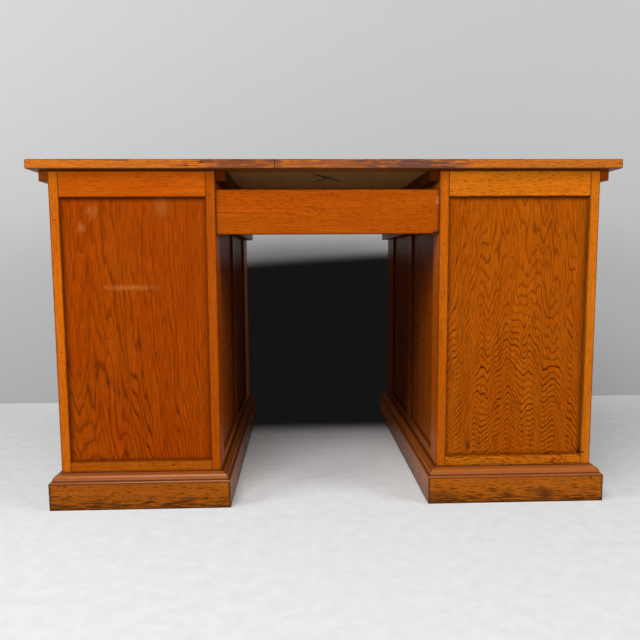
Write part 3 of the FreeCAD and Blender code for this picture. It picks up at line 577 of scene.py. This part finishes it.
# Boards that differ, by node, or by node and the board's number in it
LOOKS = {
    "right_rear_panel": {"pith": (0.0, 0.28, 0.14), "shift": 0.0, "figure": (0.035, 0.0028, 1.2),
                         "light": 0.84, "warmth": 0.45, "vary": 0.0, "seed": 17.0},
    "left_rear_panel": {"pith": (0.12, 0.40, 0.03), "shift": 0.0, "figure": (0.02, 0.0028, 0.8),
                        "light": 0.73, "warmth": 0.16, "vary": 0.0, "seed": 3.0},
    ("left_rear_rails", 0): {"warmth": 0.42, "light": 0.74, "vary": 0.0, "figure": (0.02, 0.0034, 1.0)},
    ("left_rear_rails", 1): {"warmth": 0.15, "light": 0.97, "vary": 0.0},
    ("right_rear_rails", 0): {"warmth": 0.7, "light": 1.0, "vary": 0.0, "figure": (0.02, 0.0034, 2.0)},
    ("right_rear_rails", 1): {"warmth": 0.68, "light": 1.12, "vary": 0.0, "figure": (0.02, 0.0034, 1.0)},
    ("left_rear_posts", 0): {"warmth": 0.2, "light": 0.76, "vary": 0.0},
    ("left_rear_posts", 1): {"warmth": 0.4, "vary": 0.0},
    ("right_rear_posts", 0): {"warmth": 0.35, "light": 0.9, "vary": 0.0},
    ("right_rear_posts", 1): {"warmth": 0.65, "light": 1.05, "vary": 0.0},
    ("left_front_posts", 0): {"light": 0.5},
    ("right_front_posts", 0): {"light": 0.5},
    "left_plinth": {"light": 0.75},
    "right_plinth": {"light": 0.93},
    "centre_runner_left": {"warmth": 0.2, "light": 0.35},
    "centre_runner_right": {"warmth": 0.2, "light": 0.35},
    "top_panel": {"figure": (0.012, 0.0040, 0.6), "vary": 0.08},
    "top_frame": {"light": 0.86, "warmth": 0.33, "vary": 0.0},
    "back_rail": {"warmth": 0.2, "light": 0.79, "figure": (0.03, 0.0040, 0.8), "vary": 0.0},
    # The inner battens, under the top in the knee hole, are made darker than the outer ones: painted shade
    ("top_battens", 0): {"warmth": 0.0, "light": 0.14},
    ("top_battens", 1): {"warmth": 0.0, "light": 0.14},
    ("top_battens", 2): {"warmth": 0.2, "light": 0.5},
    ("top_battens", 3): {"warmth": 0.2, "light": 0.5},
    "left_inner_side_frame": {"light": 0.8},
    "left_inner_side_panels": {"light": 0.75},
    "right_inner_side_frame": {"light": 0.8},
    "right_inner_side_panels": {"light": 0.88},
}

slot_of_node = {row["node"]: row["material_slot"] for row in frame["record"]["subparts"]}
bodies = frame["record"]["behaviour"]["bodies"]
body_of_node = {node: body for body, nodes in bodies.items() for node in nodes}

FRAME_OAK = frame_oak()
PANEL_OAK = panel_oak()
TOP_OAK = top_oak()
PLINTH_OAK = plinth_oak()
MOULDING_OAK = moulding_oak()
RAW_OAK = raw_oak()
UNDERSIDE_OAK = underside_oak()
SCREW_STEEL = screw_steel()


def wood_of(node):
    """The wood, the figure and the edge wear of a node."""
    slot = slot_of_node[node]
    if node.endswith("plinth"):
        return PLINTH_OAK, RIFT, PLINTH_WEAR
    if slot == "oak_panel":
        return PANEL_OAK, FLAT, ARRIS_WEAR
    if slot == "oak_top":
        return (TOP_OAK, FLAT, TOP_JOINT_WEAR) if node == "top_panel" else (TOP_OAK, RIFT, TOP_WEAR)
    if node == "top_battens" or node.startswith("centre_runner"):
        return FRAME_OAK, RIFT, ARRIS_WEAR
    if slot == "oak_inner":
        return RAW_OAK, RIFT, ARRIS_WEAR
    return FRAME_OAK, RIFT, ARRIS_WEAR


# Pieces that throw no coloured light on the stage
OUTSIDE = ("top_", "plinth", "rear_", "outer_side", "back_rail", "front", "knob")


def planks(whole, count):
    """The same panel as planks of one width, laid along X, each closed by itself."""
    low, high = corners(whole.verts)
    width = (high.y - low.y) / count
    joined = bmesh.new()
    for number in range(count):
        work = whole.copy()
        near = low.y + number * width
        for place, away in ((near, -1), (near + width, 1)):
            cut = bmesh.ops.bisect_plane(work, geom=work.verts[:] + work.edges[:] + work.faces[:],
                                         plane_co=(0, place, 0), plane_no=(0, away, 0), clear_outer=True)
            rim = [part for part in cut["geom_cut"] if isinstance(part, bmesh.types.BMEdge)]
            bmesh.ops.holes_fill(work, edges=rim)
        piece = bpy.data.meshes.new("plank")
        work.to_mesh(piece)
        work.free()
        joined.from_mesh(piece)
        bpy.data.meshes.remove(piece)
    whole.free()
    joined.normal_update()
    return joined


def keep_side(work, limit, inner):
    """Keep only the boards whose middle lies within the limit of the desk's middle, or only the others."""
    dropped = []
    for verts in list(islands(work)):
        low, high = corners(verts)
        if (abs(low.x + high.x) / 2 < limit) != inner:
            dropped += verts
    bmesh.ops.delete(work, geom=dropped, context="VERTS")


def boards():
    """Every wooden node gets its worn copy. The plinth boards in the knee hole are pieces of their own."""
    for node in sorted(frame["nodes"]):
        if node == "wood_screws":
            continue
        wood, sawn, wear = wood_of(node)
        work = welded_boards(node)
        if node.endswith(("rear_posts", "rear_rails")):
            for vert in work.verts:
                vert.co.z = min(vert.co.z, UNDERSIDE - TOP_GAP)
        if node == "top_panel":
            work = planks(work, TOP_PLANKS)
        wear_arrises(work, wear)
        give_grain(work, node, sawn)
        other = MOULDING_OAK if wood is PLINTH_OAK else UNDERSIDE_OAK
        for face in work.faces:
            if node == "top_panel":
                face.material_index = int(face.normal.z < -0.5)
            if wood is PLINTH_OAK:
                face.material_index = int(face.calc_center_median().z > PLINTH_TOP - MOULDING_HEIGHT)
        if wood is PLINTH_OAK:
            knee_board = work.copy()
            keep_side(knee_board, KNEE_PLINTH, True)
            keep_side(work, KNEE_PLINTH, False)
            finished(knee_board, node, [wood, other], f"{node}_knee_board_oak")
        piece = finished(work, node, [wood, other])
        piece.visible_diffuse = not any(word in node for word in OUTSIDE)


def screws():
    """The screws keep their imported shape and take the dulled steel."""
    mesh = frame["nodes"]["wood_screws"].data
    mesh.materials.clear()
    mesh.materials.append(SCREW_STEEL)


# Stage

# The colour of the painted shadow in the knee hole, a dark emission
SHADE = linear("#141414")


def matt(name, code, fleck_size, fleck_depth):
    """A matt surface with faint flecks: the material, its node function, its coordinates and its shader."""
    material, node = new_material(name)
    place = node("TexCoord").outputs["Object"]
    fleck = node("TexNoise", inputs={"Vector": place, "Scale": 1 / fleck_size, "Detail": 6.0,
                                     "Roughness": 0.65})
    share = node("MapRange", None, [fleck, 0.3, 0.7, 1.0 - fleck_depth, 1.0])
    colour = node("VectorMath", SCALE, [linear(code)[:3], share])
    return material, node, place, node("BsdfDiffuse", None, [colour])


def pale_concrete():
    """A pale concrete floor, with a painted shadow in the depth of the knee hole. The painted shadow is a dark
    emission, no lamp.
    """
    material, node, place, surface = matt("pale_concrete", "#e6e6e6", 30 * MM, 0.1)
    at = node("SeparateXYZ", None, [place]).outputs
    aside = node("Math", {"operation": "ABSOLUTE"}, [at["X"]])
    # Painted shadow: dark between the pedestals, from under the desk to its far side
    dark = 1.0
    for along, ends in ((aside, SHADE_WIDTH), (at["Y"], SHADE_START), (at["Y"], SHADE_END)):
        dark = node("Math", MULTIPLY, [node("MapRange", SMOOTH, [along, *ends, 0.0, 1.0]), dark])
    surface = node("MixShader", None, [dark, surface, node("Emission", None, [SHADE])])
    node("OutputMaterial", inputs={"Surface": surface})
    material.cycles.emission_sampling = "NONE"
    return material


def grey_plaster():
    """A grey plaster wall. It isn't seen from behind."""
    material, node, _, surface = matt("grey_plaster", "#c8c8c8", 20 * MM, 0.02)
    behind = node("NewGeometry").outputs["Backfacing"]
    surface = node("MixShader", None, [behind, surface, node("BsdfTransparent")])
    node("OutputMaterial", inputs={"Surface": surface})
    return material


def dark_cloth():
    """A painted shadow behind the knee hole, soft along its top: a dark emission, no lamp, and not seen from
    behind.
    """
    material, node = new_material("dark_cloth")
    place = node("TexCoord").outputs["Object"]
    at = node("SeparateXYZ", None, [place]).outputs
    mottle = node("TexNoise", inputs={"Vector": place, "Scale": 1 / (4 * MM), "Detail": 2.0})
    shade = node("VectorMath", SCALE, [SHADE[:3], node("MapRange", None, [mottle, 0.3, 0.7, 0.8, 1.2])])
    # The painted shadow fades out along its slanted top
    height = node("Math", MULTIPLY_ADD, [at["X"], -CARD_TILT, at["Z"]])
    dark = node("MapRange", SMOOTH, [height, *SHADE_TOP, 0.0, 1.0])
    seen = node("Math", SUBTRACT, [dark, node("NewGeometry").outputs["Backfacing"]])
    surface = node("MixShader", None, [seen, node("BsdfTransparent"), node("Emission", None, [shade])])
    node("OutputMaterial", inputs={"Surface": surface})
    material.cycles.emission_sampling = "NONE"
    return material


def plane(name, width, height, matrix, material):
    """A flat rectangle about the matrix's origin, facing its Z."""
    work = bmesh.new()
    scaled = matrix @ Matrix.Diagonal((width, height, 1, 1))
    bmesh.ops.create_grid(work, x_segments=1, y_segments=1, size=0.5, matrix=scaled)
    mesh = bpy.data.meshes.new(name)
    work.to_mesh(mesh)
    work.free()
    mesh.materials.append(material)
    shown = bpy.data.objects.new(name, mesh)
    bpy.context.scene.collection.objects.link(shown)
    shown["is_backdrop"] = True
    return shown


def stage():
    """A pale floor, a wall close behind the desk, and a card; floor and card carry the knee hole's painted
    shadow. Only the floor stops light.
    """
    floor = plane("floor", FLOOR_SIDE, FLOOR_SIDE, Matrix.Identity(4), pale_concrete())
    floor.visible_diffuse = False
    upright = Matrix.Rotation(math.radians(90), 4, "X")
    for name, width, height, place, material in (
        ("wall", FLOOR_SIDE, WALL_HEIGHT, WALL_PLACE, grey_plaster()),
        ("dark_card", CARD_WIDTH, CARD_HEIGHT, CARD_PLACE, dark_cloth()),
    ):
        card = plane(name, width, height, Matrix.Translation((0, place, height / 2)) @ upright, material)
        card.visible_shadow = False
        card.visible_diffuse = False


# Soft boxes: place and target in metres, width, height and watts; what they light, if not everything;
# whether polish mirrors them; and how wide they spread, in degrees
Box = namedtuple("Box", "place target width height watts lights mirrored spread", defaults=(None, True, 180))
BOXES = {
    "front_box": Box((-0.6, -2.3, 3.3), (0, -0.3, 0.3), 2.4, 1.2, 47),
    "stage_box": Box((-0.6, -2.6, 2.85), (0, -0.3, 0.3), 2.4, 1.2, 54, "stage"),
    "camera_box": Box((-0.3, -2.7, 0.6), (0, 0, 0.4), 2.0, 1.2, 38, "rear_side", False),
    "left_box": Box((-2.8, -1.5, 1.6), (-0.6, 0, 0.4), 1.4, 1.4, 51, None, False),
    "right_box": Box((2.8, -1.5, 1.6), (0.6, 0, 0.4), 1.4, 1.4, 45, None, False),
    "rear_box": Box((0.6, 2.6, 2.4), (0, 0, 0.4), 2.0, 1.2, 80, "outside"),
    "drawer_side_box": Box((0, 1.8, 2.4), (0, 1.801, 0), 2.4, 0.4, 16, "stage", True, 70),
}
SURROUND = 0.06
BACKDROP = "#c8c8c8"


def lamp(name, box, receivers):
    """A soft box at its place, aimed at its target. With receivers, it lights nothing else."""
    light = bpy.data.lights.new(name, "AREA")
    light.shape = "RECTANGLE"
    light.size = box.width
    light.size_y = box.height
    light.energy = box.watts
    light.spread = math.radians(box.spread)
    shown = bpy.data.objects.new(name, light)
    shown.location = box.place
    aim = Vector(box.target) - Vector(box.place)
    shown.rotation_euler = aim.to_track_quat("-Z", "Y").to_euler()
    shown.light_linking.receiver_collection = receivers
    shown.visible_glossy = box.mirrored
    bpy.context.scene.collection.objects.link(shown)


def pieces_without(*words):
    """The desk's pieces whose names hold none of the words."""
    return [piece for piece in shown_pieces() if not any(word in piece.name for word in words)]


def lights():
    """Soft boxes before, over, beside and behind the desk, in a dim grey surround."""
    receivers = {
        "outside": pieces_without("inner_side", "knee_board"),
        "rear_side": pieces_without("inner_side", "front_posts", "runner"),
        "stage": [bpy.data.objects["floor"], bpy.data.objects["wall"]],
    }
    for name, things in receivers.items():
        receivers[name] = bpy.data.collections.new(name)
        for thing in things:
            receivers[name].objects.link(thing)
    for name, box in BOXES.items():
        lamp(name, box, receivers.get(box.lights))
    world = bpy.data.worlds.new("studio")
    world.use_nodes = True
    world.node_tree.nodes.clear()
    node = partial(add, world.node_tree)
    path = node("LightPath").outputs
    seen = node("Math", MAXIMUM, [path["Is Camera Ray"], path["Is Glossy Ray"]])
    seen = node("Math", MAXIMUM, [seen, path["Is Transmission Ray"]])
    surround = node("Background", None, [linear("#ffffff"), SURROUND])
    backdrop = node("Background", None, [linear(BACKDROP), 1.0])
    node("OutputWorld", inputs={"Surface": node("MixShader", None, [seen, surround, backdrop])})
    bpy.context.scene.world = world


def camera():
    """The photograph's viewpoint: low, a little left of the middle, turned slightly down and right."""
    ahead = Vector((math.sin(CAMERA_YAW), math.cos(CAMERA_YAW), 0))
    right = Vector((math.cos(CAMERA_YAW), -math.sin(CAMERA_YAW), 0))
    view = ahead * math.cos(CAMERA_PITCH) - Vector((0, 0, math.sin(CAMERA_PITCH)))
    up = right.cross(view)
    turned_right = right * math.cos(CAMERA_ROLL) + up * math.sin(CAMERA_ROLL)
    turned_up = up * math.cos(CAMERA_ROLL) - right * math.sin(CAMERA_ROLL)
    lens = bpy.data.cameras.new("camera")
    lens.sensor_width = SENSOR_WIDTH
    lens.lens = FOCAL_PIXELS * SENSOR_WIDTH / IMAGE_SIDE
    shown = bpy.data.objects.new("camera", lens)
    turn = Matrix((turned_right, turned_up, -view)).transposed().to_4x4()
    shown.matrix_world = Matrix.Translation(CAMERA_PLACE) @ turn
    bpy.context.scene.collection.objects.link(shown)
    bpy.context.scene.camera = shown


boards()
screws()
stage()
lights()
camera()
bpy.context.scene.view_settings.view_transform = "Standard"
